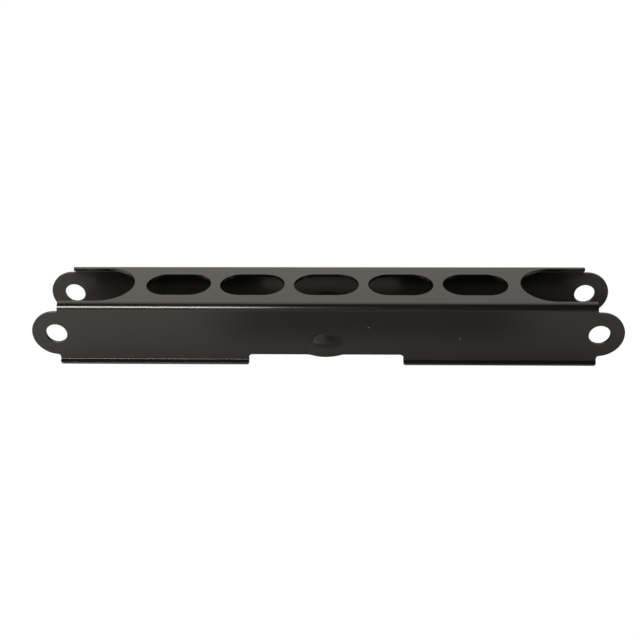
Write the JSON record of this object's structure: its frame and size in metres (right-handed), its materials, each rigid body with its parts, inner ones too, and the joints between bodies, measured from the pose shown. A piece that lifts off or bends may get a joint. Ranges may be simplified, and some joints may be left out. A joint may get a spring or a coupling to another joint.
{
  "type": "trailing arm",
  "caption": "Pressed steel channel arm for a rear suspension, with a bolt ear on each wall at both ends, lightening slots along its web and out-turned lips.",
  "frame": {"origin": "centre of the arm's footprint, on the plane of the lips' undersides", "axes": "+X along the arm, through both bolt holes' centres seen from above; +Y across it, parallel to the bolt axes; +Z from the lips up to the web"},
  "size_m": [0.36, 0.0576, 0.0413],
  "materials": {
    "black_coated_steel": "satin black coating"
  },
  "bodies": {
    "root": {"trailing_arm": "black_coated_steel"}
  },
  "joints": []
}
